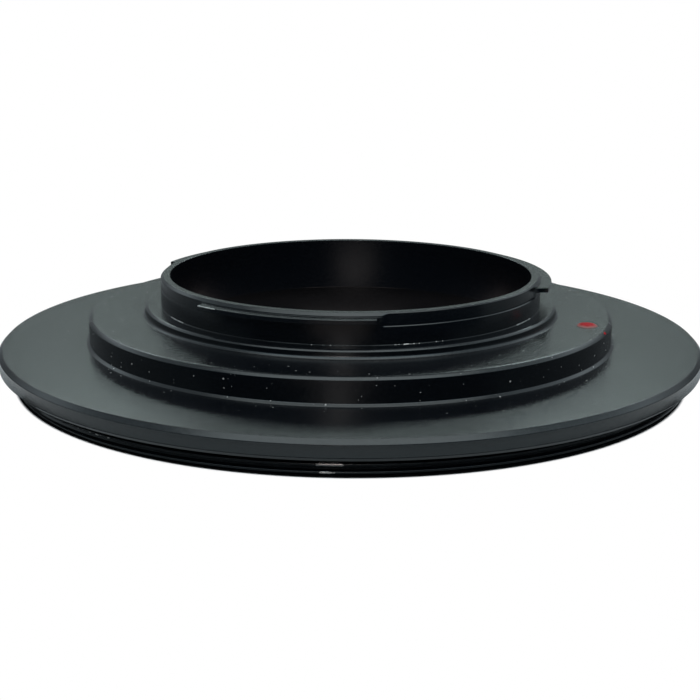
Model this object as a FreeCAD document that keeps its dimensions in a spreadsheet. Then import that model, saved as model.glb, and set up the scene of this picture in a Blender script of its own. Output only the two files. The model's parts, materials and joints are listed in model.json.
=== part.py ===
import FreeCAD, Part
import math
import os
import Sketcher

# Macro reverse ring: a lens filter thread below, a three-lug camera bayonet above.
# The axis is Z, the thread's end face is at z = 0 and the index dot is on +X. Millimetres and degrees.

sizes = {
    # filter thread and the lip that carries it
    "thread_radius": 38.5,
    "thread_length": 1.95,
    "thread_chamfer": 0.3,
    "thread_relief_height": 0.4,
    "thread_relief_depth": 0.45,
    "thread_relief_corner": 0.1,
    "thread_relief_flank": 0.2,
    "lip_wall": 2.3,
    "rear_recess_depth": 0.9,
    # flange that the lens's filter ring stops against
    "flange_overhang": 1.5,
    "flange_thickness": 2.1,
    "flange_top_chamfer": 0.45,
    "flange_bottom_chamfer": 0.4,
    # step around the seat
    "step_face_width": 6.38,
    "step_height": 2.88,
    "step_chamfer": 0.35,
    "step_fillet": 0.4,
    "step_web": 2.0,
    # seat ring at the foot of the collar, which comes to rest on the camera
    "seat_ring_width": 1.77,
    "seat_ring_height": 0.98,
    "seat_ring_chamfer": 0.31,
    "seat_ring_fillet": 0.4,
    # collar and bore
    "bore_radius": 20.75,
    "rear_bore_step": 1.75,
    "collar_wall": 1.1,
    "collar_fillet": 0.15,
    "rim_rise": 0.42,
    "rim_chamfer_width": 0.35,
    "rim_chamfer_height": 0.3,
    # bayonet lugs and the gaps milled between them
    "lug_distance": 2.41,
    "lug_thickness": 0.5,
    "lug_reach": 1.2,
    "lug_pitch": 120.0,
    "keyed_lug_turn": -90.0,
    "keyed_lug_angle": 50.0,
    "plain_lug_angle": 60.0,
    "gap_cut": 0.2,
    "gap_undercut": 0.45,
    "cutter_radius": 1.5,
    # index dot and lock slot in the step
    "dot_radius": 1.1,
    "dot_crown": 0.25,
    "dot_edge_distance": 2.5,
    "dimple_depth": 0.4,
    "lock_slot_turn": 90.0,
    "lock_slot_radius": 1.4,
    "lock_slot_travel": 0.8,
    "lock_slot_depth": 1.6,
    "lock_slot_edge_distance": 1.0,
}

doc = FreeCAD.newDocument("macro_reverse_ring")
sheet = doc.addObject("Spreadsheet::Sheet", "dims")
for row, (alias, value) in enumerate(sizes.items(), start=1):
    sheet.set(f"A{row}", alias)
    sheet.set(f"B{row}", str(value))
    sheet.setAlias(f"B{row}", alias)
doc.recompute()


def bound(terms):
    # the expression for a sum such as "flange_thickness - step_chamfer", read from the sheet
    return " ".join(word if word in "+-" else f"dims.{word}" for word in terms.split())


def number(terms):
    # the same sum as a number, to draw a sketch close to its final shape
    total = 0.0
    sign = 1.0
    for word in terms.split():
        if word in "+-":
            sign = 1.0 if word == "+" else -1.0
        else:
            total += sign * sizes[word]
    return total


# Radii and heights that several features share
collar_radius = "bore_radius + collar_wall"
seat_ring_radius = f"{collar_radius} + seat_ring_width"
step_radius = f"{seat_ring_radius} + step_face_width"
flange_shelf = (
    "thread_radius + flange_overhang - flange_top_chamfer - step_fillet"
    " - step_face_width - seat_ring_width - collar_wall - bore_radius"
)
gap_radius = f"{collar_radius} - gap_cut"
slot_place = f"{step_radius} - lock_slot_edge_distance - lock_slot_radius"
dot_place = f"{step_radius} - dot_edge_distance"
flange_top = "thread_length + flange_thickness"
step_top = f"{flange_top} + step_height"
rim_top = f"{step_top} + seat_ring_height + lug_distance + lug_thickness + rim_rise"


def new_body(name):
    body = doc.addObject("PartDesign::Body", name)
    body.Label = name
    return body


def new_sketch(body, name, role):
    sketch = body.newObject("Sketcher::SketchObject", name)
    plane = next(feature for feature in body.Origin.OriginFeatures if feature.Role == role)
    sketch.AttachmentSupport = [(plane, "")]
    sketch.MapMode = "FlatFace"
    return sketch


def level_sketch(body, name, height, turn):
    # a sketch at a height above the thread's end, with its own X axis turned about the ring's axis
    sketch = new_sketch(body, name, "XY_Plane")
    sketch.setExpression("AttachmentOffset.Base.z", bound(height))
    if turn:
        sketch.setExpression("AttachmentOffset.Rotation.Angle", turn)
    return sketch


def set_size(sketch, name, constraint, expression):
    sketch.renameConstraint(sketch.addConstraint(constraint), name)
    sketch.setExpression(f"Constraints.{name}", expression)


def join(sketch, *places):
    # places are geometry numbers and the ends meant: 1 start, 2 end, 3 centre
    sketch.addConstraint(Sketcher.Constraint("Coincident", *places))


def arc(centre, radius, start_angle, end_angle):
    circle = Part.Circle(FreeCAD.Vector(*centre, 0), FreeCAD.Vector(0, 0, 1), radius)
    return Part.ArcOfCircle(circle, start_angle, end_angle)


def turned_sketch(body, name, start, steps):
    # A closed section in the XZ plane. Each step goes out and up by a sum of sizes, or by None for no
    # change, in a straight line or, with a radius, as the quarter round at the foot of a wall.
    sketch = new_sketch(body, name, "XZ_Plane")
    here = FreeCAD.Vector(number(start[0]), number(start[1]), 0)
    first = here
    for count, (out, up, foot_radius) in enumerate(steps):
        there = here + FreeCAD.Vector(number(out or ""), number(up or ""), 0)
        if foot_radius:
            quarter = arc((there.x, here.y), number(foot_radius), math.pi, 1.5 * math.pi)
            line = sketch.addGeometry(quarter, False)
            radius = Sketcher.Constraint("Radius", line, number(foot_radius))
            set_size(sketch, f"foot_{count}", radius, bound(foot_radius))
        else:
            line = sketch.addGeometry(Part.LineSegment(here, there), False)
        if count == 0:
            start_x = Sketcher.Constraint("DistanceX", -1, 1, line, 1, here.x)
            set_size(sketch, "start_x", start_x, bound(start[0]))
            start_z = Sketcher.Constraint("DistanceY", -1, 1, line, 1, here.y)
            set_size(sketch, "start_z", start_z, bound(start[1]))
        else:
            join(sketch, line - 1, 2, line, 1)
        if out:
            run = Sketcher.Constraint("DistanceX", line, 1, line, 2, number(out))
            set_size(sketch, f"out_{count}", run, bound(out))
        else:
            sketch.addConstraint(Sketcher.Constraint("Vertical", line))
        if up:
            rise = Sketcher.Constraint("DistanceY", line, 1, line, 2, number(up))
            set_size(sketch, f"up_{count}", rise, bound(up))
        else:
            sketch.addConstraint(Sketcher.Constraint("Horizontal", line))
        here = there
    closing = sketch.addGeometry(Part.LineSegment(here, first), False)
    join(sketch, closing - 1, 2, closing, 1)
    join(sketch, closing, 2, 0, 1)
    return sketch


def revolve(body, name, sketch):
    turned = body.newObject("PartDesign::Revolution", name)
    turned.Profile = sketch
    turned.ReferenceAxis = (sketch, ["V_Axis"])
    turned.Angle = 360.0
    return turned


def cut_down(body, name, sketch, depth):
    pocket = body.newObject("PartDesign::Pocket", name)
    pocket.Profile = sketch
    pocket.setExpression("Length", bound(depth))
    return pocket


# The ring, turned from one piece: the section runs from the rim down the outside and back up the bore.
# The relief above the thread slopes into the flange just outside the thread, so the stop face is clear.
ring_section = [
    ("collar_wall - rim_chamfer_width", None, None),
    ("rim_chamfer_width", "- rim_chamfer_height", None),
    (None, "rim_chamfer_height - rim_rise", None),
    ("lug_reach", None, None),
    (None, "- lug_thickness", None),
    ("- lug_reach", None, None),
    (None, "collar_fillet - lug_distance", None),
    ("collar_fillet", "- collar_fillet", "collar_fillet"),
    ("seat_ring_width - collar_fillet - seat_ring_chamfer", None, None),
    ("seat_ring_chamfer", "- seat_ring_chamfer", None),
    (None, "seat_ring_chamfer + seat_ring_fillet - seat_ring_height", None),
    ("seat_ring_fillet", "- seat_ring_fillet", "seat_ring_fillet"),
    ("step_face_width - seat_ring_fillet - step_chamfer", None, None),
    ("step_chamfer", "- step_chamfer", None),
    (None, "step_chamfer + step_fillet - step_height", None),
    ("step_fillet", "- step_fillet", "step_fillet"),
    (flange_shelf, None, None),
    ("flange_top_chamfer", "- flange_top_chamfer", None),
    (None, "flange_top_chamfer + flange_bottom_chamfer - flange_thickness", None),
    ("- flange_bottom_chamfer", "- flange_bottom_chamfer", None),
    ("flange_bottom_chamfer - flange_overhang + thread_relief_corner", None, None),
    ("- thread_relief_corner - thread_relief_depth", "- thread_relief_flank", None),
    (None, "thread_relief_flank - thread_relief_height", None),
    ("thread_relief_depth", None, None),
    (None, "thread_chamfer + thread_relief_height - thread_length", None),
    ("- thread_chamfer", "- thread_chamfer", None),
    ("thread_chamfer - lip_wall", None, None),
    (None, "rear_recess_depth", None),
    ("bore_radius + rear_bore_step + lip_wall - thread_radius", None, None),
    (None, f"{step_top} - step_web - rear_recess_depth", None),
    ("- rear_bore_step", None, None),
]
ring = new_body("reverse_ring")
ring_sketch = turned_sketch(ring, "ring_section", ("bore_radius", rim_top), ring_section)
revolve(ring, "turned_ring", ring_sketch)


def mill_gap(name, turn, gap_angle):
    # One gap between two lugs: an end mill's path along the collar, so the lugs' ends are hollow arcs.
    # The angle is from lug tip to lug tip, and the path stops short of each tip by the cutter's radius.
    sketch = level_sketch(ring, f"{name}_path", rim_top, turn)
    cutter = sizes["cutter_radius"]
    inner = number(gap_radius)
    middle = inner + cutter
    half = math.radians(sizes["plain_lug_angle"] / 2)
    path_radius = bound(f"{gap_radius} + cutter_radius")
    half_path = f"({gap_angle}) * 0.5 deg - asin(dims.cutter_radius / ({path_radius}))"
    near_wall = sketch.addGeometry(arc((0, 0), inner, -half, half), False)
    far_wall = sketch.addGeometry(arc((0, 0), inner + 2 * cutter, -half, half), False)
    ends = {}
    for side in (1, -1):
        place = (middle * math.cos(half), side * middle * math.sin(half))
        begin = half if side > 0 else math.pi - half
        ends[side] = sketch.addGeometry(arc(place, cutter, begin, begin + math.pi), False)
        spoke_line = Part.LineSegment(FreeCAD.Vector(0, 0, 0), FreeCAD.Vector(*place, 0))
        spoke = sketch.addGeometry(spoke_line, True)
        join(sketch, spoke, 1, -1, 1)
        join(sketch, spoke, 2, ends[side], 3)
        first, second = (-1, spoke) if side > 0 else (spoke, -1)
        swing = Sketcher.Constraint("Angle", first, 1, second, 1, half)
        set_size(sketch, f"swing_{'left' if side > 0 else 'right'}", swing, half_path)
    join(sketch, near_wall, 3, -1, 1)
    join(sketch, far_wall, 3, -1, 1)
    sketch.addConstraint(Sketcher.Constraint("Tangent", far_wall, 2, ends[1], 1))
    sketch.addConstraint(Sketcher.Constraint("Tangent", ends[1], 2, near_wall, 2))
    sketch.addConstraint(Sketcher.Constraint("Tangent", near_wall, 1, ends[-1], 1))
    sketch.addConstraint(Sketcher.Constraint("Tangent", ends[-1], 2, far_wall, 1))
    set_size(sketch, "wall", Sketcher.Constraint("Radius", near_wall, inner), bound(gap_radius))
    set_size(sketch, "cutter", Sketcher.Constraint("Radius", ends[1], cutter), bound("cutter_radius"))
    return cut_down(ring, name, sketch, "rim_rise + lug_thickness + gap_undercut")


# The keyed lug is narrower than the other two, so the ring enters the camera one way only
keyed_gap = "dims.lug_pitch - dims.keyed_lug_angle / 2 - dims.plain_lug_angle / 2"
keyed_gap_swing = f"(dims.keyed_lug_angle + {keyed_gap}) / 2"
plain_gap = "360 - 2 * dims.lug_pitch - dims.plain_lug_angle"
mill_gap("right_gap", f"dims.keyed_lug_turn + {keyed_gap_swing}", keyed_gap)
mill_gap("left_gap", f"dims.keyed_lug_turn - {keyed_gap_swing}", keyed_gap)
mill_gap("far_gap", "dims.keyed_lug_turn + 180", plain_gap)


def lock_slot():
    # the slot that the camera's lock pin drops into: an end mill run a short way along a radius
    sketch = level_sketch(ring, "lock_slot_path", step_top, "dims.lock_slot_turn")
    radius = sizes["lock_slot_radius"]
    outer_x = number(slot_place)
    inner_x = outer_x - sizes["lock_slot_travel"]
    outer_end = sketch.addGeometry(arc((outer_x, 0), radius, -math.pi / 2, math.pi / 2), False)
    inner_end = sketch.addGeometry(arc((inner_x, 0), radius, math.pi / 2, 1.5 * math.pi), False)
    for side, outer_place, inner_place in ((1, 2, 1), (-1, 1, 2)):
        outer_point = FreeCAD.Vector(outer_x, side * radius, 0)
        inner_point = FreeCAD.Vector(inner_x, side * radius, 0)
        wall = sketch.addGeometry(Part.LineSegment(outer_point, inner_point), False)
        sketch.addConstraint(Sketcher.Constraint("Tangent", wall, 1, outer_end, outer_place))
        sketch.addConstraint(Sketcher.Constraint("Tangent", wall, 2, inner_end, inner_place))
    sketch.addConstraint(Sketcher.Constraint("PointOnObject", outer_end, 3, -1))
    sketch.addConstraint(Sketcher.Constraint("PointOnObject", inner_end, 3, -1))
    place = Sketcher.Constraint("DistanceX", -1, 1, outer_end, 3, outer_x)
    set_size(sketch, "place", place, bound(slot_place))
    travel = Sketcher.Constraint("DistanceX", inner_end, 3, outer_end, 3, sizes["lock_slot_travel"])
    set_size(sketch, "travel", travel, bound("lock_slot_travel"))
    set_size(sketch, "cutter", Sketcher.Constraint("Radius", outer_end, radius), bound("lock_slot_radius"))
    return cut_down(ring, "lock_slot", sketch, "lock_slot_depth")


lock_slot()


def dot_dimple():
    sketch = level_sketch(ring, "dot_dimple_edge", step_top, None)
    place_x = number(dot_place)
    centre = FreeCAD.Vector(place_x, 0, 0)
    edge = sketch.addGeometry(Part.Circle(centre, FreeCAD.Vector(0, 0, 1), sizes["dot_radius"]), False)
    sketch.addConstraint(Sketcher.Constraint("PointOnObject", edge, 3, -1))
    place = Sketcher.Constraint("DistanceX", -1, 1, edge, 3, place_x)
    set_size(sketch, "place", place, bound(dot_place))
    set_size(sketch, "radius", Sketcher.Constraint("Radius", edge, sizes["dot_radius"]), bound("dot_radius"))
    return cut_down(ring, "dot_dimple", sketch, "dimple_depth")


dot_dimple()


# The index dot: enamel that fills the dimple and stands proud as a low dome
dot = new_body("index_dot")
dot.setExpression("Placement.Base.x", bound(dot_place))
dot.setExpression("Placement.Base.z", bound(f"{step_top} - dimple_depth"))


def dot_section():
    sketch = new_sketch(dot, "dot_section", "XZ_Plane")
    radius = sizes["dot_radius"]
    side_top = sizes["dimple_depth"]
    crown = sizes["dot_crown"]
    dome = (radius ** 2 + crown ** 2) / (2 * crown)
    corners = [(0, side_top + crown), (0, 0), (radius, 0), (radius, side_top)]
    points = [FreeCAD.Vector(*corner, 0) for corner in corners]
    for begin, end in zip(points, points[1:]):
        sketch.addGeometry(Part.LineSegment(begin, end), False)
    centre = (0, side_top + crown - dome)
    cap = sketch.addGeometry(arc(centre, dome, math.atan2(side_top - centre[1], radius), math.pi / 2), False)
    join(sketch, 0, 2, 1, 1)
    join(sketch, 1, 2, 2, 1)
    join(sketch, 2, 2, cap, 1)
    join(sketch, cap, 2, 0, 1)
    join(sketch, 0, 2, -1, 1)
    sketch.addConstraint(Sketcher.Constraint("PointOnObject", 0, 1, -2))
    sketch.addConstraint(Sketcher.Constraint("PointOnObject", cap, 3, -2))
    sketch.addConstraint(Sketcher.Constraint("Horizontal", 1))
    sketch.addConstraint(Sketcher.Constraint("Vertical", 2))
    set_size(sketch, "radius", Sketcher.Constraint("DistanceX", 1, 1, 1, 2, radius), bound("dot_radius"))
    set_size(sketch, "side", Sketcher.Constraint("DistanceY", 2, 1, 2, 2, side_top), bound("dimple_depth"))
    set_size(sketch, "crown", Sketcher.Constraint("DistanceY", cap, 1, cap, 2, crown), bound("dot_crown"))
    return sketch


revolve(dot, "dot_dome", dot_section())

doc.recompute()

for item in doc.Objects:
    if "Invalid" in item.State or "Error" in item.State:
        raise RuntimeError(f"{item.Name} failed: {item.getStatusString()}")
    if item.isDerivedFrom("PartDesign::Pocket"):
        if item.Shape.Volume >= item.BaseFeature.Shape.Volume:
            raise RuntimeError(f"{item.Name} cuts nothing")
for body in (ring, dot):
    if body.Shape.isNull() or not body.Shape.isValid():
        raise RuntimeError(f"{body.Label} has no valid shape")

os.makedirs("parts", exist_ok=True)
for body in (ring, dot):
    body.Shape.exportStep(f"parts/{body.Label}.step")
    box = body.Shape.BoundBox
    size = f"{box.XLength:.2f} x {box.YLength:.2f} x {box.ZLength:.2f} mm"
    print(body.Label, size, f"{body.Shape.Volume:.1f} mm3")
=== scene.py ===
import json
import math
import bmesh
import bpy
from mathutils import Matrix, Vector


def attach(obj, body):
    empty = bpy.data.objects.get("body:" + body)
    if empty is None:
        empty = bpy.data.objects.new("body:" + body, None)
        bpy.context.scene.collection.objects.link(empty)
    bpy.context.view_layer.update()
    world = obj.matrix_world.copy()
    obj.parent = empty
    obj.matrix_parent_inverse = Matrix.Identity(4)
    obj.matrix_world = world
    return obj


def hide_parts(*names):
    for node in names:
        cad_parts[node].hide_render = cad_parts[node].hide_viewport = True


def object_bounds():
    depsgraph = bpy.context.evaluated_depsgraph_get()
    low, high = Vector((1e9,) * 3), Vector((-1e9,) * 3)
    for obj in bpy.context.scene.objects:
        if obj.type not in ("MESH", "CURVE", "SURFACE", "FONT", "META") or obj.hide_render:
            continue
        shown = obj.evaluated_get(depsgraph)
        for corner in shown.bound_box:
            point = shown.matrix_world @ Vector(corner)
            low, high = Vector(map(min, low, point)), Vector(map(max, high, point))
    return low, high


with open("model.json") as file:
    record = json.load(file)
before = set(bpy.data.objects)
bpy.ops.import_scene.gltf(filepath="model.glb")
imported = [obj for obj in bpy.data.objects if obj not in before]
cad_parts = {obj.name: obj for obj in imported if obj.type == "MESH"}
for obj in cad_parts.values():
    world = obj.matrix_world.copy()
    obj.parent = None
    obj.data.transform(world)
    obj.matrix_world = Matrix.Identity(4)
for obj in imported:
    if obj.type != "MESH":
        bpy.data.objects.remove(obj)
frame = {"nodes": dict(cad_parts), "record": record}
cadLow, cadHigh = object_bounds()
mm = 0.001
mounts = {mount["name"]: mount for mount in frame["record"]["mounts"]}
print("frame loaded:", sorted(frame["nodes"]))


# camera: where the photograph was taken from, in degrees and millimetres

cameraLook = {
    "turn": 18.5,  # from -Y towards +X, seen from the axis
    "elevation": 14.695,
    "distance": 153.16,
    "aim": (-0.04, 0.0, 1.74),  # right, away and up from the origin, as the camera sees it
    "roll": 0.274,
    "lens": 66.89,
    "nearClip": 1.0,
}
towardsCamera = Matrix.Rotation(math.radians(cameraLook["turn"]), 4, "Z")


def fromCamera(right, away, up):
    # a place given as the camera sees it, in mm, turned into the frame's metres
    return towardsCamera @ (Vector((right, away, up)) * mm)


def makeCamera(look):
    data = bpy.data.cameras.new("photoCamera")
    data.lens = look["lens"]
    data.clip_start = look["nearClip"] * mm
    camera = bpy.data.objects.new("photoCamera", data)
    bpy.context.scene.collection.objects.link(camera)
    rise = math.radians(look["elevation"])
    back = towardsCamera @ Vector((0, -math.cos(rise), math.sin(rise)))
    aim = fromCamera(*look["aim"])
    turned = (-back).to_track_quat("-Z", "Y").to_matrix().to_4x4()
    rolled = turned @ Matrix.Rotation(math.radians(look["roll"]), 4, "Z")
    camera.matrix_world = Matrix.Translation(aim + back * look["distance"] * mm) @ rolled
    bpy.context.scene.camera = camera


makeCamera(cameraLook)
print("camera placed")


# nodes: short helpers for the materials and the thread

def addNode(tree, kind, **values):
    node = tree.nodes.new(kind)
    for name, value in values.items():
        setattr(node, name, value)
    return node


def feed(tree, node, **links):
    # each value is a constant or another node's output, by the socket's name with its spaces left out
    sockets = {socket.name.replace(" ", ""): socket for socket in node.inputs if socket.enabled}
    for name, value in links.items():
        if isinstance(value, bpy.types.NodeSocket):
            tree.links.new(value, sockets[name])
        else:
            sockets[name].default_value = value
    return node


def calc(tree, operation, first, second=0.0, third=0.0):
    node = addNode(tree, "ShaderNodeMath", operation=operation)
    for socket, value in zip(node.inputs, (first, second, third)):
        if isinstance(value, bpy.types.NodeSocket):
            tree.links.new(value, socket)
        else:
            socket.default_value = value
    return node.outputs[0]


def ramp(tree, value, low, high, start=0.0, end=1.0):
    node = addNode(tree, "ShaderNodeMapRange", interpolation_type="SMOOTHSTEP")
    feed(tree, node, Value=value, FromMin=low, FromMax=high, ToMin=start, ToMax=end)
    return node.outputs[0]


def noise(tree, place, size, detail):
    node = addNode(tree, "ShaderNodeTexNoise")
    return feed(tree, node, Vector=place, Scale=1 / size, Detail=detail).outputs["Fac"]


def blend(tree, kind, factor, first, second):
    # kind is "Float" or "Color", as the node's sockets are called
    node = addNode(tree, "ShaderNodeMix", data_type="RGBA" if kind == "Color" else "FLOAT")
    wanted = {"Factor_Float": factor, f"A_{kind}": first, f"B_{kind}": second}
    for socket in node.inputs:
        value = wanted.get(socket.identifier)
        if isinstance(value, bpy.types.NodeSocket):
            tree.links.new(value, socket)
        elif value is not None:
            socket.default_value = value
    return next(socket for socket in node.outputs if socket.identifier == f"Result_{kind}")


def newMaterial(name):
    material = bpy.data.materials.new(name)
    material.use_nodes = True
    return material, material.node_tree, material.node_tree.nodes["Principled BSDF"]


# finish of the ring: black dye in an oxide skin over fine turning, with dust, worn edges and painted glints
# of bare metal on the thread's crest

anodiseLook = {
    "colour": (0.0005, 0.0009, 0.0018, 1),
    "ior": 1.45,
    "sheenTint": (0.86, 0.97, 1.0, 1),
    "roughness": (0.213, 0.272),
    "sheenLevel": (0.46, 0.54),
    "mottle": 0.28 * mm,
    "mottleDetail": 3.0,
    "mottleRange": (0.3, 0.7),  # of the noise, from the smoothest patches to the roughest
    "mottleShare": 2.8,
    "grain": 0.11 * mm,
    "grainDetail": 2.0,
    "turning": 0.16 * mm,
    "turningDetail": 1.0,
    "turningShare": 0.5,
    "relief": 0.0022 * mm,
    "dustCell": 0.62 * mm,
    "dustSize": 0.10 * mm,
    "dustShare": 0.9,
    "dustBand": (29.8 * mm, 5.5 * mm),  # how far from the axis dust is thickest, and its spread
    "dustRagged": 0.08 * mm,
    "dustFaint": 0.25,
    "dustColour": (0.32, 0.32, 0.315, 1),
    "dustRoughness": 0.9,
    "bareColour": (0.43, 0.43, 0.42, 1),
    "bareRoughness": 0.35,
    "wearGrain": 0.35 * mm,
    "wearDetail": 3.0,
    "wearEdge": (0.40, 0.58),  # how strong the wear and glint mark is where metal begins to show and where it is bare
}


def axisDistance(tree, place):
    flat = addNode(tree, "ShaderNodeVectorMath", operation="MULTIPLY")
    tree.links.new(place, flat.inputs[0])
    flat.inputs[1].default_value = (1, 1, 0)
    reach = addNode(tree, "ShaderNodeVectorMath", operation="LENGTH")
    tree.links.new(flat.outputs[0], reach.inputs[0])
    return reach.outputs["Value"]


def turningLines(tree, place, size, detail):
    # one height for each distance across a turned face, whichever way the face points
    axes = addNode(tree, "ShaderNodeSeparateXYZ")
    tree.links.new(place, axes.inputs[0])
    across = calc(tree, "ADD", axisDistance(tree, place), axes.outputs["Z"])
    lines = addNode(tree, "ShaderNodeTexNoise", noise_dimensions="1D")
    return feed(tree, lines, W=across, Scale=1 / size, Detail=detail).outputs["Fac"]


def dustSpecks(tree, place, look):
    # ragged specks, mostly small ones, caught round the step
    sway = feed(tree, addNode(tree, "ShaderNodeTexNoise"), Vector=place, Scale=1 / look["dustRagged"])
    ragged = addNode(tree, "ShaderNodeVectorMath", operation="MULTIPLY_ADD")
    tree.links.new(sway.outputs["Color"], ragged.inputs[0])
    ragged.inputs[1].default_value = [look["dustRagged"]] * 3
    tree.links.new(place, ragged.inputs[2])
    specks = addNode(tree, "ShaderNodeTexVoronoi")
    feed(tree, specks, Vector=ragged.outputs[0], Scale=1 / look["dustCell"])
    chance = addNode(tree, "ShaderNodeSeparateColor")
    tree.links.new(specks.outputs["Color"], chance.inputs[0])
    middle, reach = look["dustBand"]
    off = calc(tree, "ABSOLUTE", calc(tree, "SUBTRACT", axisDistance(tree, place), middle))
    share = ramp(tree, off, 0.0, reach, look["dustShare"], 0.0)
    kept = calc(tree, "LESS_THAN", chance.outputs[0], share)
    small = calc(tree, "MULTIPLY", chance.outputs[1], chance.outputs[1])
    size = calc(tree, "MULTIPLY", small, look["dustSize"] / look["dustCell"])
    inside = calc(tree, "MULTIPLY", calc(tree, "LESS_THAN", specks.outputs["Distance"], size), kept)
    return calc(tree, "MULTIPLY", inside, ramp(tree, chance.outputs[2], 0.0, 1.0, look["dustFaint"], 1.0))


def blackAnodised(look):
    material, tree, shader = newMaterial("blackAnodised")
    place = addNode(tree, "ShaderNodeTexCoord").outputs["Object"]
    grain = noise(tree, place, look["grain"], look["grainDetail"])
    lines = turningLines(tree, place, look["turning"], look["turningDetail"])
    mottle = noise(tree, place, look["mottle"], look["mottleDetail"])
    fine = calc(tree, "MULTIPLY_ADD", lines, look["turningShare"], grain)
    height = calc(tree, "MULTIPLY_ADD", mottle, look["mottleShare"], fine)
    bump = feed(tree, addNode(tree, "ShaderNodeBump"), Strength=1.0, Distance=look["relief"], Height=height)
    dust = dustSpecks(tree, place, look)
    # wear on the ring's edges and painted glints on the thread's crest, both shown as bare metal
    wearAndGlintMask = addNode(tree, "ShaderNodeAttribute", attribute_name="wearAndGlint").outputs["Fac"]
    patches = noise(tree, place, look["wearGrain"], look["wearDetail"])
    bareAndGlint = ramp(tree, calc(tree, "MULTIPLY", wearAndGlintMask, patches), *look["wearEdge"])
    skin = ramp(tree, mottle, *look["mottleRange"], *look["roughness"])
    sheen = ramp(tree, mottle, *look["mottleRange"], *look["sheenLevel"])
    dusty = blend(tree, "Float", dust, skin, look["dustRoughness"])
    colour = blend(tree, "Color", dust, look["colour"], look["dustColour"])
    feed(tree, shader, BaseColor=blend(tree, "Color", bareAndGlint, colour, look["bareColour"]), Metallic=bareAndGlint)
    feed(tree, shader, Roughness=blend(tree, "Float", bareAndGlint, dusty, look["bareRoughness"]))
    feed(tree, shader, IOR=look["ior"], SpecularIORLevel=sheen, SpecularTint=look["sheenTint"])
    feed(tree, shader, Normal=bump.outputs["Normal"])
    return material


black = blackAnodised(anodiseLook)
print("black finish made")


# ring: the turned and milled body, in millimetres and degrees

ring = {
    "columns": 360,
    "roundSteps": 4,
    "flangeThickness": 2.1,
    "flangeTopChamfer": 0.45,
    "flangeUnderChamfer": 0.4,
    "stepRadius": 30.0,
    "stepChamfer": 0.31,
    "stepFillet": (0.34, 0.235),  # width and height
    "stepWeb": 2.0,
    "seatRingWidth": 1.77,
    "seatRingHeight": 0.98,
    "seatRingChamfer": 0.21,
    "seatRingFillet": 0.4,
    "rearBoreStep": 1.75,
    "collarWall": 1.1,
    "collarFillet": 0.05,
    "rimChamferWidth": 0.35,
    "rimChamferHeight": 0.3,
    "lugDistance": 2.41,
    "lugThickness": 0.5,
    "lugReach": 1.2,
    "lugs": ((-90, 50), (30, 60), (150, 60)),  # middle and width of each
    "gapCut": 0.2,
    "shallowGap": 180,  # the angle where the gap begins that only just breaks the collar's surface
    "shallowCut": 0.03,
    "gapUndercut": 0.45,
    "gapLedge": 0.004,  # how steep the floor of a gap is where it meets the collar
    "ledgeBevel": 0.08,
    "cutterRadius": 1.5,
    "cutterSteps": 10,
    "columnsApart": 0.2,
    "lipWall": 2.3,
    "rearRecess": 0.9,
    "threadCut": 0.38,
    "threadLead": 0.04,
    "reliefCorner": 0.1,
    "reliefFlank": 0.2,
    "brokenEdge": 0.5,
    "softEdge": 0.07,
    "crispEdge": 0.04,
    "innerCorner": 0.1,
    "support": 0.06,  # how far beyond a rounded corner the face is held flat
    "merge": 0.0008,  # points nearer than this become one
    "sharpAngle": 40,
}
flangeRadius = cadHigh.x / mm
rimHeight = cadHigh.z / mm
threadRadius = mounts["filter_thread"]["dims"]["r_mm"]
boreRadius = mounts["light_path"]["dims"]["r_mm"]
seatRingTop = mounts["camera_seat"]["pos_m"][2] / mm
stopHeight = mounts["flange_stop"]["pos_m"][2] / mm
stepTop = seatRingTop - ring["seatRingHeight"]
flangeTop = stopHeight + ring["flangeThickness"]
collarRadius = boreRadius + ring["collarWall"]
lugRadius = collarRadius + ring["lugReach"]
lugUnder = seatRingTop + ring["lugDistance"]
lugTop = lugUnder + ring["lugThickness"]
gapRadius = collarRadius - ring["gapCut"]
gapFloor = lugUnder - ring["gapUndercut"]
seatRingRadius = collarRadius + ring["seatRingWidth"]
coreRadius = threadRadius - ring["threadCut"]


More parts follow.
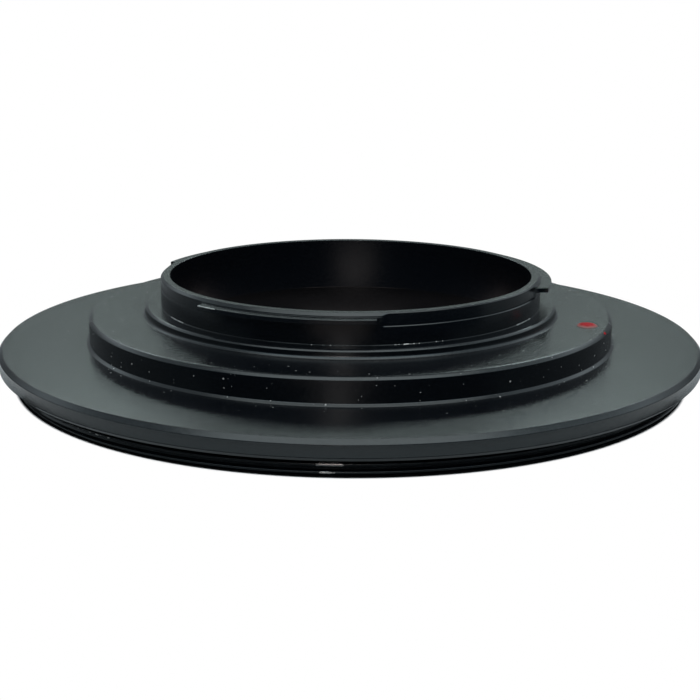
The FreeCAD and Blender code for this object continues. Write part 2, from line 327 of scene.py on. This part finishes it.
def ringCorners(size):
    # radius, height and rounding of each corner, from the rim down the outside and back up the bore
    broken = size["brokenEdge"]
    soft = size["softEdge"]
    crisp = size["crispEdge"]
    inner = size["innerCorner"]
    bevel = size["stepChamfer"]
    seatBevel = size["seatRingChamfer"]
    topBevel = size["flangeTopChamfer"]
    underBevel = size["flangeUnderChamfer"]
    rimSlope = size["rimChamferHeight"] / size["rimChamferWidth"]
    rimEdge = collarRadius - size["rimChamferWidth"]
    lip = threadRadius - size["lipWall"]
    rearBore = boreRadius + size["rearBoreStep"]
    ceiling = stepTop - size["stepWeb"]
    lead = size["threadLead"]
    filletWidth, filletHeight = size["stepFillet"]
    return [
        (boreRadius, rimHeight, soft),
        (rimEdge, rimHeight, soft),
        (gapRadius, rimHeight - (gapRadius - rimEdge) * rimSlope, 0),
        (collarRadius, rimHeight - size["rimChamferHeight"], crisp),
        (collarRadius, lugTop, crisp),
        (lugRadius, lugTop, soft),
        (lugRadius, lugUnder, crisp),
        (collarRadius, lugUnder, crisp),
        (collarRadius, gapFloor, 0),
        (collarRadius, gapFloor - size["gapLedge"], 0),
        (collarRadius, gapFloor - size["ledgeBevel"], 0),
        (collarRadius, gapFloor - size["ledgeBevel"] - size["support"], 0),
        (collarRadius, seatRingTop, size["collarFillet"]),
        (seatRingRadius - seatBevel, seatRingTop, broken),
        (seatRingRadius, seatRingTop - seatBevel, soft),
        (seatRingRadius, stepTop, size["seatRingFillet"]),
        (size["stepRadius"] - bevel, stepTop, broken),
        (size["stepRadius"], stepTop - bevel, soft),
        (size["stepRadius"], flangeTop + filletHeight, inner),
        (size["stepRadius"] + filletWidth, flangeTop, inner),
        (flangeRadius - topBevel, flangeTop, soft),
        (flangeRadius, flangeTop - topBevel, soft),
        (flangeRadius, stopHeight + underBevel, soft),
        (flangeRadius - underBevel, stopHeight, soft),
        (threadRadius + size["reliefCorner"], stopHeight, crisp),
        (coreRadius, stopHeight - size["reliefFlank"], crisp),
        (coreRadius, lead, crisp),
        (coreRadius - lead, 0, crisp),
        (lip, 0, soft),
        (lip, size["rearRecess"], inner),
        (rearBore, size["rearRecess"], soft),
        (rearBore, ceiling, inner),
        (boreRadius, ceiling, soft),
    ]


def roundedSection(corners, steps, support):
    # each corner becomes an arc, with one more point just beyond each end to keep the faces flat;
    # on a short side that point stays clear of the one from the other corner
    section = []
    points = [Vector(corner[:2]) for corner in corners]
    for index, (point, corner) in enumerate(zip(points, corners)):
        radius = corner[2]
        if not radius:
            section.append(point)
            continue
        before = points[index - 1] - point
        after = points[(index + 1) % len(points)] - point
        half = before.angle(after) / 2
        cut = radius / math.tan(half)
        towards = (before.normalized() + after.normalized()).normalized()
        centre = point + towards * radius / math.sin(half)
        begin = point + before.normalized() * cut
        end = point + after.normalized() * cut
        section.append(begin + before.normalized() * min(support, before.length / 3 - cut / 2))
        for step in range(steps + 1):
            arm = (begin - centre).lerp(end - centre, step / steps)
            section.append(centre + arm.normalized() * radius)
        section.append(end + after.normalized() * min(support, after.length / 3 - cut / 2))
    return section


def gapEnds(size):
    # first and last angle of each gap between two lugs, in degrees
    lugs = sorted((middle % 360, width) for middle, width in size["lugs"])
    ends = []
    for (middle, width), (nextMiddle, nextWidth) in zip(lugs, lugs[1:] + lugs[:1]):
        first = middle + width / 2
        last = nextMiddle - nextWidth / 2
        ends.append((first, last if last > first else last + 360))
    return ends


pathRadius = gapRadius + ring["cutterRadius"]
cutterReach = math.degrees(math.asin(ring["cutterRadius"] / pathRadius))


def milledWall(angle, gaps, size):
    # how far out the metal is left at an angle, above the floor of the gaps
    for first, last in gaps:
        into = (angle - first) % 360
        width = last - first
        if into > width:
            continue
        short = math.radians(max(cutterReach - into, cutterReach - (width - into), 0))
        half = max(size["cutterRadius"] ** 2 - (pathRadius * math.sin(short)) ** 2, 0)
        wall = pathRadius * math.cos(short) - math.sqrt(half)
        return max(wall, collarRadius - size["shallowCut"]) if first == size["shallowGap"] else wall
    return flangeRadius


def columnAngles(size, gaps):
    # even steps, with closer ones along the hollow ends of the lugs
    close = []
    for first, last in gaps:
        for step in range(size["cutterSteps"] + 1):
            swing = cutterReach * (1 - math.sin(math.pi / 2 * step / size["cutterSteps"]))
            close += [(first + swing) % 360, (last - swing) % 360]
    even = [360 * column / size["columns"] for column in range(size["columns"])]
    clear = [angle for angle in even
             if all(abs((angle - other + 180) % 360 - 180) > size["columnsApart"] for other in close)]
    return sorted(clear + close)


def meshObject(name, vertices, faces, material):
    mesh = bpy.data.meshes.new(name)
    mesh.from_pydata(vertices, [], faces)
    mesh.materials.append(material)
    piece = bpy.data.objects.new(name, mesh)
    bpy.context.scene.collection.objects.link(piece)
    return piece


def tidyMesh(mesh, merge, sharp):
    shape = bmesh.new()
    shape.from_mesh(mesh)
    bmesh.ops.remove_doubles(shape, verts=shape.verts, dist=merge)
    bmesh.ops.dissolve_degenerate(shape, edges=shape.edges, dist=merge)
    bmesh.ops.recalc_face_normals(shape, faces=shape.faces)
    shape.to_mesh(mesh)
    shape.free()
    mesh.shade_smooth()
    mesh.set_sharp_from_angle(angle=math.radians(sharp))


def turnRing(size):
    section = roundedSection(ringCorners(size), size["roundSteps"], size["support"])
    gaps = gapEnds(size)
    angles = columnAngles(size, gaps)
    vertices = []
    for angle in angles:
        wall = milledWall(angle, gaps, size)
        turn = math.radians(angle)
        for radius, height in section:
            reach = radius
            if height > gapFloor - size["gapLedge"] / 2:
                reach = min(radius, wall)
            elif height > gapFloor - size["ledgeBevel"] / 2:
                reach = min(radius, max(wall, collarRadius - size["ledgeBevel"]))
            vertices.append((reach * math.cos(turn) * mm, reach * math.sin(turn) * mm, height * mm))
    count = len(section)
    faces = []
    for column in range(len(angles)):
        here = column * count
        there = (column + 1) % len(angles) * count
        for row in range(count):
            after = (row + 1) % count
            faces.append((here + row, there + row, there + after, here + after))
    piece = meshObject("ring_body", vertices, faces, black)
    tidyMesh(piece.data, size["merge"] * mm, size["sharpAngle"])
    return piece


# holes in the step: the slot for the camera's lock pin and the dimple under the index dot

lockSlot = {
    "angle": 90,
    "outer": 27.6,
    "travel": 0.8,
    "radius": 1.4,
    "depth": 1.6,
    "bevel": 0.12,
    "steps": 20,
}
dotDimple = {
    "angle": 0,
    "outer": 27.5,
    "travel": 0.0,
    "radius": 1.1,
    "depth": 0.4,
    "bevel": 0.04,
    "steps": 20,
}
above = 1.0  # how far a cutter stands clear of the step


def obround(size, grow):
    # the outline of an end mill run along a radius, in mm
    turn = Matrix.Rotation(math.radians(size["angle"]), 2)
    radius = size["radius"] + grow
    outline = []
    for place, begin in ((size["outer"], -90), (size["outer"] - size["travel"], 90)):
        for step in range(size["steps"] + 1):
            swing = math.radians(begin + 180 * step / size["steps"])
            outline.append(turn @ Vector((place + radius * math.cos(swing), radius * math.sin(swing))))
    return outline


def makeCutter(size):
    bevel = size["bevel"]
    levels = [(-size["depth"], 0), (-bevel, 0), (above, above + bevel)]  # height from the step, and growth
    vertices = []
    for height, grow in levels:
        vertices += [(x * mm, y * mm, (stepTop + height) * mm) for x, y in obround(size, grow)]
    count = len(vertices) // len(levels)
    top = len(vertices) - count
    faces = [tuple(reversed(range(count))), tuple(range(top, top + count))]
    for level in range(len(levels) - 1):
        for here in range(count):
            there = (here + 1) % count
            low = level * count
            faces.append((low + here, low + there, low + count + there, low + count + here))
    cutter = meshObject("cutter", vertices, faces, black)
    tidyMesh(cutter.data, ring["merge"] * mm, ring["sharpAngle"])
    return cutter


def plainMesh(piece):
    # what the modifiers make becomes the piece's own mesh
    view = bpy.context.evaluated_depsgraph_get()
    view.update()
    made = bpy.data.meshes.new_from_object(piece.evaluated_get(view))
    old = piece.data
    piece.modifiers.clear()
    piece.data = made
    made.name = piece.name
    bpy.data.meshes.remove(old)


def cutHoles(piece, holes):
    for size in holes:
        cutter = makeCutter(size)
        cut = piece.modifiers.new("hole", "BOOLEAN")
        cut.operation = "DIFFERENCE"
        cut.solver = "EXACT"
        cut.object = cutter
        plainMesh(piece)
        bpy.data.objects.remove(cutter)
    tidyMesh(piece.data, ring["merge"] * mm, ring["sharpAngle"])


# worn edges: radius and height of the edge, how far the wear reaches, first and last angle, strength
wornEdges = [
    (lugRadius, lugTop, 0.14, -115, -109.5, 1.6),
    (lugRadius, lugTop, 0.05, -109.5, -94, 0.85),
    (collarRadius, seatRingTop, 0.12, -135, -126.5, 1.2),
    (collarRadius, seatRingTop, 0.10, -82, -67, 0.82),
    (collarRadius, seatRingTop, 0.10, -60, -53, 1.0),
    (collarRadius, seatRingTop, 0.10, -48, -46, 1.0),
    (collarRadius, seatRingTop, 0.12, -17, -8, 1.1),
    (collarRadius, rimHeight, 0.05, 20, 75, 0.8),
    (flangeRadius, stopHeight + ring["flangeUnderChamfer"], 0.05, 100, 175, 0.8),
]


def markWearAndGlints(piece, edges):
    fade = 1.5  # degrees over which each marked stretch dies out
    stretchMarks = piece.data.attributes.new("wearAndGlint", "FLOAT", "POINT")
    for index, vertex in enumerate(piece.data.vertices):
        x, y, height = vertex.co / mm
        radius = math.hypot(x, y)
        angle = math.degrees(math.atan2(y, x))
        amount = 0.0
        for edgeRadius, edgeHeight, reach, first, last, strength in edges:
            apart = math.hypot(radius - edgeRadius, height - edgeHeight) / reach
            inside = min(angle - first, last - angle) / fade
            amount = max(amount, strength * math.exp(-apart ** 2) * min(max(inside + 1, 0), 1))
        stretchMarks.data[index].value = amount


ringPiece = turnRing(ring)
cutHoles(ringPiece, (lockSlot, dotDimple))
markWearAndGlints(ringPiece, wornEdges)
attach(ringPiece, "root")
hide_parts("reverse_ring")
print("ring turned:", len(ringPiece.data.polygons), "faces")


# filter thread: one right-handed ridge wound round the core, in millimetres and degrees

thread = {
    "pitch": 0.75,
    "firstHeight": 0.32,
    "firstAngle": -137.0,
    "turns": 1.5,
    "pointsPerTurn": 360,
    "baseWidth": 0.65,
    "crestWidth": 0.18,
    "crestRound": 0.09,
    "crestSteps": 3,
    "sink": 0.06,
    "runOut": 0.06,  # share of the length over which each end dies away
    "endScale": 0.3,
}


def threadTree(size):
    tree = bpy.data.node_groups.new("threadRidge", "GeometryNodeTree")
    tree.interface.new_socket("Geometry", in_out="OUTPUT", socket_type="NodeSocketGeometry")
    inputs = {
        "Core Radius": coreRadius * mm,
        "Pitch": size["pitch"] * mm,
        "Turns": size["turns"],
        "Depth": (ring["threadCut"] + size["sink"]) * mm,
        "Sink": size["sink"] * mm,
        "Base Width": size["baseWidth"] * mm,
        "Crest Width": size["crestWidth"] * mm,
        "Crest Round": size["crestRound"] * mm,
        "First Height": size["firstHeight"] * mm,
        "First Angle": math.radians(size["firstAngle"]),
        "Run Out": size["runOut"],
    }
    for name in inputs:
        tree.interface.new_socket(name, in_out="INPUT", socket_type="NodeSocketFloat")
    given = addNode(tree, "NodeGroupInput").outputs
    rise = calc(tree, "MULTIPLY", given["Pitch"], given["Turns"])
    path = addNode(tree, "GeometryNodeCurveSpiral")
    feed(tree, path, Resolution=size["pointsPerTurn"], Rotations=given["Turns"], Height=rise)
    feed(tree, path, StartRadius=given["Core Radius"], EndRadius=given["Core Radius"], Reverse=True)
    upright = addNode(tree, "GeometryNodeSetCurveNormal", mode="Z_UP")
    tree.links.new(path.outputs["Curve"], upright.inputs["Curve"])

    tooth = addNode(tree, "GeometryNodeCurvePrimitiveQuadrilateral", mode="TRAPEZOID")
    feed(tree, tooth, BottomWidth=given["Base Width"], TopWidth=given["Crest Width"])
    feed(tree, tooth, Height=given["Depth"], Offset=0.0)
    rounded = addNode(tree, "GeometryNodeFilletCurve", mode="POLY")
    feed(tree, rounded, Curve=tooth.outputs["Curve"], Count=size["crestSteps"])
    feed(tree, rounded, Radius=given["Crest Round"], LimitRadius=True)
    outwards = calc(tree, "SUBTRACT", calc(tree, "MULTIPLY", given["Depth"], 0.5), given["Sink"])
    shift = addNode(tree, "ShaderNodeCombineXYZ")
    tree.links.new(outwards, shift.inputs["X"])
    placed = addNode(tree, "GeometryNodeTransform")
    feed(tree, placed, Geometry=rounded.outputs["Curve"], Translation=shift.outputs[0])
    feed(tree, placed, Rotation=(0, 0, math.radians(-90)))

    along = addNode(tree, "GeometryNodeSplineParameter").outputs["Factor"]
    leadIn = ramp(tree, calc(tree, "DIVIDE", along, given["Run Out"]), 0.0, 1.0, size["endScale"], 1.0)
    left = calc(tree, "DIVIDE", calc(tree, "SUBTRACT", 1.0, along), given["Run Out"])
    leadOut = ramp(tree, left, 0.0, 1.0, size["endScale"], 1.0)
    ridge = addNode(tree, "GeometryNodeCurveToMesh")
    feed(tree, ridge, Curve=upright.outputs[0], ProfileCurve=placed.outputs[0], FillCaps=True)
    tree.links.new(calc(tree, "MINIMUM", leadIn, leadOut), ridge.inputs["Scale"])

    lift = addNode(tree, "ShaderNodeCombineXYZ")
    tree.links.new(given["First Height"], lift.inputs["Z"])
    turn = addNode(tree, "ShaderNodeCombineXYZ")
    tree.links.new(given["First Angle"], turn.inputs["Z"])
    wound = addNode(tree, "GeometryNodeTransform")
    feed(tree, wound, Geometry=ridge.outputs[0], Translation=lift.outputs[0])
    tree.links.new(turn.outputs[0], wound.inputs["Rotation"])
    real = feed(tree, addNode(tree, "GeometryNodeRealizeInstances"), Geometry=wound.outputs[0])
    dressed = feed(tree, addNode(tree, "GeometryNodeSetMaterial"), Geometry=real.outputs[0], Material=black)
    output = addNode(tree, "NodeGroupOutput")
    tree.links.new(dressed.outputs[0], output.inputs[0])
    return tree, inputs


def makeThread(size):
    piece = meshObject("filter_thread", [], [], black)
    tree, inputs = threadTree(size)
    winding = piece.modifiers.new("ridge", "NODES")
    winding.node_group = tree
    for socket in tree.interface.items_tree:
        if socket.in_out == "INPUT":
            winding[socket.identifier] = inputs[socket.name]
    plainMesh(piece)
    bpy.data.node_groups.remove(tree)
    tidyMesh(piece.data, ring["merge"] * mm, ring["sharpAngle"])
    return piece


# painted glints on the thread: bare-metal patches where the front lamp's highlight falls on the crest, in
# the same order, at the heights where its ridge passes
threadGlints = [
    (threadRadius, 1.22, 0.28, -75.3, -73.2, 2.0),
    (threadRadius, 0.46, 0.14, -75.0, -74.2, 1.6),
    (threadRadius, 1.12, 0.10, -115, -108, 0.95),
]
threadPiece = makeThread(thread)
markWearAndGlints(threadPiece, threadGlints)
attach(threadPiece, "root")
print("thread wound:", len(threadPiece.data.polygons), "faces")


# index dot: a bead of red enamel that fills its dimple, and a speck of the same paint on the step's edge

enamelLook = {
    "colour": (0.29, 0.009, 0.014, 1),
    "deepColour": (0.22, 0.006, 0.009, 1),
    "rimColour": (0.20, 0.10, 0.095, 1),
    "rimEdge": (0.74, 1.12),  # how far out on the dot the paler rim colour begins and where it is full
    "rimCloud": 0.3,  # how much the clouds break up the rim
    "specular": 0.03,
    "cloud": 0.5 * mm,
    "cloudDetail": 2.0,
    "cloudRange": (0.35, 0.65),  # of the noise, from the deep colour to the plain one
    "orangePeel": 0.22 * mm,
    "peelDetail": 1.0,
    "relief": 0.012 * mm,
    "roughness": (0.5, 0.65),
    "roughRange": (0.3, 0.7),  # of the noise, for the roughness
}


def redEnamel(look):
    material, tree, shader = newMaterial("redEnamel")
    place = addNode(tree, "ShaderNodeTexCoord").outputs["Object"]
    cloud = noise(tree, place, look["cloud"], look["cloudDetail"])
    body = blend(tree, "Color", ramp(tree, cloud, *look["cloudRange"]), look["deepColour"], look["colour"])
    # the dot turns paler towards its rim
    rimShare = addNode(tree, "ShaderNodeAttribute", attribute_name="dotRimShare").outputs["Fac"]
    edge = ramp(tree, calc(tree, "MULTIPLY_ADD", cloud, look["rimCloud"], rimShare), *look["rimEdge"])
    feed(tree, shader, BaseColor=blend(tree, "Color", edge, body, look["rimColour"]))
    feed(tree, shader, Roughness=ramp(tree, cloud, *look["roughRange"], *look["roughness"]))
    peel = noise(tree, place, look["orangePeel"], look["peelDetail"])
    bump = feed(tree, addNode(tree, "ShaderNodeBump"), Strength=1.0, Distance=look["relief"], Height=peel)
    feed(tree, shader, SpecularIORLevel=look["specular"], Normal=bump.outputs["Normal"])
    return material


red = redEnamel(enamelLook)

bead = {
    "columns": 48,
    "rings": 12,
    "radius": dotDimple["radius"],
    "crown": 0.25,
    "spill": 0.03,  # how far the paint runs over the dimple's edge
    "wobble": ((3, 0.022, 0.4), (5, 0.014, 1.7)),  # waves round the outline, their share and phase
    "dish": 0.12,  # how much the middle has sunk as it dried
    "sharpAngle": 60,
}


def makeBead(size):
    # domed rings from the middle to the spilled edge, then the plug down to the dimple's floor
    centre = Vector((dotDimple["outer"], 0, stepTop))
    rows = []
    for step in range(1, size["rings"] + 1):
        share = step / size["rings"]
        sunk = size["dish"] * (1 - share ** 2) ** 2
        rows.append((share * (1 + size["spill"]), size["crown"] * (1 - share ** 4) * (1 - sunk), share))
    plug = 1 - size["spill"]
    rows.append((1 + size["spill"], -dotDimple["bevel"] / 2, 1.0))
    rows.append((plug, -dotDimple["bevel"], 1.0))
    rows.append((plug, -dotDimple["depth"], 1.0))
    vertices = [centre + Vector((0, 0, size["crown"] * (1 - size["dish"])))]
    rimShare = [0.0]
    for share, height, fade in rows:
        for column in range(size["columns"]):
            angle = 2 * math.pi * column / size["columns"]
            waves = sum(part * math.sin(count * angle + phase) for count, part, phase in size["wobble"])
            reach = size["radius"] * share * (1 + waves * (share > plug))
            vertices.append(centre + Vector((reach * math.cos(angle), reach * math.sin(angle), height)))
            rimShare.append(fade)
    count = size["columns"]
    faces = [(0, 1 + column, 1 + (column + 1) % count) for column in range(count)]
    for row in range(len(rows) - 1):
        for column in range(count):
            here = 1 + row * count + column
            there = 1 + row * count + (column + 1) % count
            faces.append((here, here + count, there + count, there))
    faces.append(tuple(range(len(vertices) - count, len(vertices))))
    piece = meshObject("index_dot_fill", [point * mm for point in vertices], faces, red)
    piece.data.attributes.new("dotRimShare", "FLOAT", "POINT").data.foreach_set("value", rimShare)
    tidyMesh(piece.data, ring["merge"] * mm, size["sharpAngle"])
    return piece


beadPiece = makeBead(bead)
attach(beadPiece, "root")
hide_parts("index_dot")

speck = {
    "angle": -4.3,
    "slope": 45,  # of the step's chamfer
    "size": (0.16, 0.34, 0.05),
    "squeeze": 0.25,
    "columns": 20,
    "rings": 6,
    "sharpAngle": 60,
}


def makeSpeck(size):
    # a flattened drop on the chamfer at the step's edge: down the slope, along the edge, and thick
    slope = math.radians(size["slope"])
    place = Vector((ring["stepRadius"] - ring["stepChamfer"] / 2, 0, stepTop - ring["stepChamfer"] / 2))
    down = Vector((math.cos(slope), 0, -math.sin(slope)))
    out = Vector((math.sin(slope), 0, math.cos(slope)))
    turn = Matrix.Rotation(math.radians(size["angle"]), 3, "Z")
    width, length, thick = size["size"]
    shape = bmesh.new()
    bmesh.ops.create_uvsphere(shape, u_segments=size["columns"], v_segments=2 * size["rings"], radius=1)
    for vertex in shape.verts:
        x, y, z = vertex.co
        lean = 1 + size["squeeze"] * math.sin(2 * y + x)
        across = place + down * x * width * lean
        along = Vector((0, y * length, 0))
        vertex.co = turn @ (across + along + out * z * thick) * mm
    piece = meshObject("paint_speck", [], [], red)
    shape.to_mesh(piece.data)
    shape.free()
    tidyMesh(piece.data, ring["merge"] * mm, size["sharpAngle"])
    return piece


speckPiece = makeSpeck(speck)
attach(speckPiece, "root")
print("index dot filled")


# stage: pale floor, white surroundings, a soft box above and a small lamp in front,
# with panels round about that the ring mirrors, and mats of painted reflection and painted shade

stageLook = {
    "floorSize": 6000.0,
    "floorColour": (0.8, 0.8, 0.8, 1),
    "floorRoughness": 0.9,
    "contactColour": (0.01, 0.01, 0.01, 1),
    "contactEdge": (38.12, 38.25),  # where the painted shadow under the thread gives way to the floor's own colour
    "shadowShift": (0, -0.34, 0),  # how far the shadow falls towards the camera, as the camera sees it
    "seenShadow": (38.2, 38.45),  # from here to there the floor turns plain white to the eye
    "mirrorShadow": (44.8, 55.2),  # and the same for what the ring mirrors
    "skyColour": (0.95, 0.98, 1.0, 1),
    "skyStrength": 0.35,
    "white": (1, 1, 1, 1),
}
softBox = {"place": (0, -120, 700), "size": (900, 520), "glow": 2.0, "colour": (0.97, 1.0, 0.99)}
frontLamp = {"place": (-48, -590, 230), "size": (60, 160), "glow": 11.0, "colour": (1.0, 0.85, 0.80)}
tints = {
    "sky": (0.84, 0.95, 1.0, 1),
    "strip": (0.85, 1.0, 0.98, 1),
    "deep": (0.45, 0.68, 1.0, 1),
    "warm": (1.0, 0.82, 0.79, 1),
}
# panels that stand in a circle round the ring: first and last bearing, from behind the ring and clockwise
# from above, then the lowest and highest elevation, glow and tint of each panel, with the angles in degrees
panelRadius = 620.0
panelStep = 5.0
panels = {
    "farLeft": (
        (-120, -32),
        ((0, 16, 0.18, "sky"), (16, 23.5, 0.58, "sky"), (23.5, 34, 1.3, "sky"), (34, 55, 0.6, "sky"),
         (55, 80, 0.3, "sky")),
    ),
    "nearLeft": ((-32, -20), ((0, 23.5, 0.26, "sky"), (23.5, 34, 1.3, "sky"), (34, 80, 0.5, "sky"))),
    "left": ((-20, -11), ((0, 23.5, 0.30, "strip"), (23.5, 28.5, 6.2, "strip"), (28.5, 80, 0.12, "sky"))),
    "midLeft": ((-11, -7), ((0, 23.5, 0.30, "strip"), (23.5, 28.5, 2.1, "strip"), (28.5, 80, 0.12, "sky"))),
    "innerLeft": ((-7, -3), ((0, 24, 0.24, "strip"), (24, 29, 2.0, "strip"), (29, 80, 0.12, "sky"))),
    "middle": ((-3, 3), ((0, 25, 0.24, "strip"), (25, 30, 3.5, "strip"), (30, 80, 0.12, "sky"))),
    "innerRight": ((3, 7), ((0, 25.5, 0.24, "strip"), (25.5, 31, 3.1, "strip"), (31, 80, 0.12, "sky"))),
    "midRight": ((7, 11), ((0, 25.5, 0.28, "strip"), (25.5, 31, 3.7, "strip"), (31, 80, 0.12, "sky"))),
    "right": ((11, 20), ((0, 25.5, 0.28, "strip"), (25.5, 31, 9.5, "strip"), (31, 80, 0.12, "sky"))),
    "nearRight": ((20, 32), ((0, 25.5, 0.22, "sky"), (25.5, 34, 1.5, "sky"), (34, 80, 0.8, "sky"))),
    "farRight": (
        (32, 120),
        ((0, 16, 0.18, "sky"), (16, 25.5, 0.62, "sky"), (25.5, 34, 1.5, "sky"), (34, 55, 1.0, "sky"),
         (55, 80, 0.4, "sky")),
    ),
    "frontRight": ((120, 171.5), ((0, 25.5, 0.03, "deep"), (25.5, 31, 1.0, "sky"), (31, 57, 2.8, "sky"))),
    "front": ((171.5, 197.5), ((0, 25.5, 0.35, "warm"), (25.5, 31, 1.0, "sky"), (31, 57, 2.8, "sky"))),
    "frontLeft": ((197.5, 240), ((0, 25.5, 0.03, "deep"), (25.5, 31, 1.0, "sky"), (31, 57, 2.8, "sky"))),
}
# mats just above the floor that only the ring mirrors, painted reflections that light nothing, the darkest
# of them painted shade of the floor round the thread: bearings, inner and outer radius, glow and tint
matHeight = 0.1
paintedReflectionMats = {
    "boreRightMat": ((13, 168), (0, 36.0), 0.04, "deep"),
    "boreFrontMat": ((168, 202), (0, 36.0), 1.1, "warm"),
    "boreLeftMat": ((202, 347), (0, 36.0), 0.05, "deep"),
    "boreMiddleMat": ((-13, 13), (0, 7.0), 0.04, "deep"),
    "boreBackMat": ((-13, 13), (7.0, 17.0), 0.25, "warm"),
    "boreEdgeMat": ((-13, 13), (17.0, 36.0), 0.6, "warm"),
    "threadFrontMat": ((105, 238), (38.14, 38.7), 0.004, "deep"),
    "threadBackMat": ((-122, 105), (38.14, 39.0), 0.004, "deep"),
    "lipFrontMat": ((105, 238), (38.7, 39.5), 0.38, "sky"),
    "lipBackMat": ((-122, 105), (39.0, 39.5), 0.28, "sky"),
    "contactFrontMat": ((114, 246), (39.5, 44.5), 0.01, "deep"),
    "contactBackMat": ((-83, 83), (39.5, 44.5), 0.01, "deep"),
    "contactRightMat": ((83, 114), (40.8, 44.5), 0.5, "sky"),
    "contactLeftMat": ((246, 277), (40.8, 44.5), 0.5, "sky"),
    "farRightMat": ((110, 172), (52.0, 610.0), 0.05, "deep"),
    "farFrontMat": ((172, 198), (52.0, 610.0), 0.35, "warm"),
    "farLeftMat": ((198, 250), (52.0, 610.0), 0.05, "deep"),
    "farBackMat": ((-110, 110), (52.0, 610.0), 0.25, "sky"),
}


def seenBy(tree):
    # what kind of ray asks: the eye, and the mirrored or refracted ones
    path = addNode(tree, "ShaderNodeLightPath")
    mirrored = calc(tree, "MAXIMUM", path.outputs["Is Glossy Ray"], path.outputs["Is Transmission Ray"])
    return path.outputs["Is Camera Ray"], mirrored


def mixShader(tree, factor, first, second):
    mix = addNode(tree, "ShaderNodeMixShader")
    for socket, value in zip(mix.inputs, (factor, first, second)):
        tree.links.new(value, socket)
    return mix.outputs[0]


def makeWorld(look):
    world = bpy.data.worlds.new("studio")
    world.use_nodes = True
    bpy.context.scene.world = world
    tree = world.node_tree
    tree.nodes.clear()
    lit = addNode(tree, "ShaderNodeBackground")
    feed(tree, lit, Color=look["skyColour"], Strength=look["skyStrength"])
    white = addNode(tree, "ShaderNodeBackground")
    feed(tree, white, Color=look["white"], Strength=1.0)
    output = addNode(tree, "ShaderNodeOutputWorld")
    shown = calc(tree, "MAXIMUM", *seenBy(tree))
    tree.links.new(mixShader(tree, shown, lit.outputs[0], white.outputs[0]), output.inputs["Surface"])


def glow(tree, colour, strength):
    return feed(tree, addNode(tree, "ShaderNodeEmission"), Color=colour, Strength=strength).outputs[0]


def makeFloor(look):
    half = look["floorSize"] / 2 * mm
    corners = [(-half, -half, 0), (half, -half, 0), (half, half, 0), (-half, half, 0)]
    material, tree, shader = newMaterial("paleFloor")
    reach = addNode(tree, "ShaderNodeVectorMath", operation="LENGTH")
    shifted = addNode(tree, "ShaderNodeVectorMath", operation="SUBTRACT")
    tree.links.new(addNode(tree, "ShaderNodeTexCoord").outputs["Object"], shifted.inputs[0])
    shifted.inputs[1].default_value = fromCamera(*look["shadowShift"])
    tree.links.new(shifted.outputs[0], reach.inputs[0])
    # painted shadow: the floor's colour is dark out to just past the thread's edge
    near, far = look["contactEdge"]
    clear = ramp(tree, reach.outputs["Value"], near * mm, far * mm)
    colour = blend(tree, "Color", clear, look["contactColour"], look["floorColour"])
    feed(tree, shader, BaseColor=colour, Roughness=look["floorRoughness"], SpecularIORLevel=0.0)
    seen, mirrored = seenBy(tree)
    plain = []
    for ask, key in ((seen, "seenShadow"), (mirrored, "mirrorShadow")):
        near, far = look[key]
        plain.append(calc(tree, "MULTIPLY", ramp(tree, reach.outputs["Value"], near * mm, far * mm), ask))
    white = glow(tree, look["white"], 1.0)
    surface = mixShader(tree, calc(tree, "MAXIMUM", *plain), shader.outputs[0], white)
    tree.links.new(surface, tree.nodes["Material Output"].inputs["Surface"])
    floor = meshObject("floor", corners, [(0, 1, 2, 3)], material)


def makeCard(name, bearings, edges, strength, tint):
    # a glowing strip between two edges, each a radius and a height, kept out of the picture
    first, last = bearings
    count = max(round((last - first) / panelStep), 1)
    vertices = []
    for step in range(count + 1):
        bearing = math.radians(first + (last - first) * step / count)
        for radius, height in edges:
            vertices.append(fromCamera(radius * math.sin(bearing), radius * math.cos(bearing), height))
    faces = [(2 * step, 2 * step + 1, 2 * step + 3, 2 * step + 2) for step in range(count)]
    material, tree, shader = newMaterial(name)
    tree.nodes.remove(shader)
    tree.links.new(glow(tree, tints[tint], strength), tree.nodes["Material Output"].inputs["Surface"])
    card = meshObject(name, vertices, faces, material)
    card.visible_camera = False
    return card


def makePanels(side, bearings, rows):
    for row, (low, high, strength, tint) in enumerate(rows):
        edges = [(panelRadius, panelRadius * math.tan(math.radians(rise))) for rise in (low, high)]
        makeCard(f"{side}Panel{row}", bearings, edges, strength, tint)


def makePaintedReflection(name, bearings, reach, strength, tint):
    # a painted reflection that lights nothing: the floor below it keeps its own light and shadow
    mat = makeCard(name, bearings, [(radius, matHeight) for radius in reach], strength, tint)
    mat.visible_diffuse = False
    mat.visible_shadow = False


def makeLamp(name, look):
    data = bpy.data.lights.new(name, "AREA")
    data.shape = "RECTANGLE"
    data.size = look["size"][0] * mm
    data.size_y = look["size"][1] * mm
    data.energy = look["glow"] * math.pi * data.size * data.size_y
    data.color = look["colour"]
    lamp = bpy.data.objects.new(name, data)
    bpy.context.scene.collection.objects.link(lamp)
    lamp.location = fromCamera(*look["place"])
    lamp.rotation_mode = "QUATERNION"
    lamp.rotation_quaternion = (-lamp.location).to_track_quat("-Z", "Y")


makeWorld(stageLook)
makeFloor(stageLook)
makeLamp("softBox", softBox)
makeLamp("frontLamp", frontLamp)
for side, (bearings, rows) in panels.items():
    makePanels(side, bearings, rows)
for matName, matLook in paintedReflectionMats.items():
    makePaintedReflection(matName, *matLook)
bpy.context.scene.view_settings.view_transform = "Standard"
print("stage lit")
